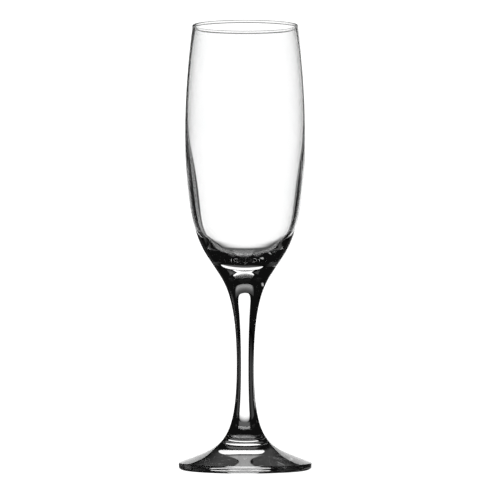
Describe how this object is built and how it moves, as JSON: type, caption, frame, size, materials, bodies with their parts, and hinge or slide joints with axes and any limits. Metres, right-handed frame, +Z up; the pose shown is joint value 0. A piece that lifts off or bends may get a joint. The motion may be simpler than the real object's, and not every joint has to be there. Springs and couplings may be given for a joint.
{
  "type": "champagne flute",
  "caption": "Clear stemmed flute glass: a tall bowl that narrows to its rim over a thick base, on a waisted stem and a round domed foot.",
  "frame": {"origin": "on the glass's upright axis, at the level of the ring that the foot stands on", "axes": "+Z up along the axis of the stem and bowl, towards the rim; the glass is turned, so +X and +Y are any two directions square to it"},
  "size_m": [0.0584, 0.0584, 0.195],
  "materials": {
    "bowl_glass": "clear fire-polished soda-lime glass",
    "stem_glass": "clear fire-polished soda-lime glass",
    "foot_glass": "clear fire-polished soda-lime glass"
  },
  "bodies": {
    "root": {"bowl": "bowl_glass", "stem": "stem_glass", "foot": "foot_glass"}
  },
  "joints": []
}
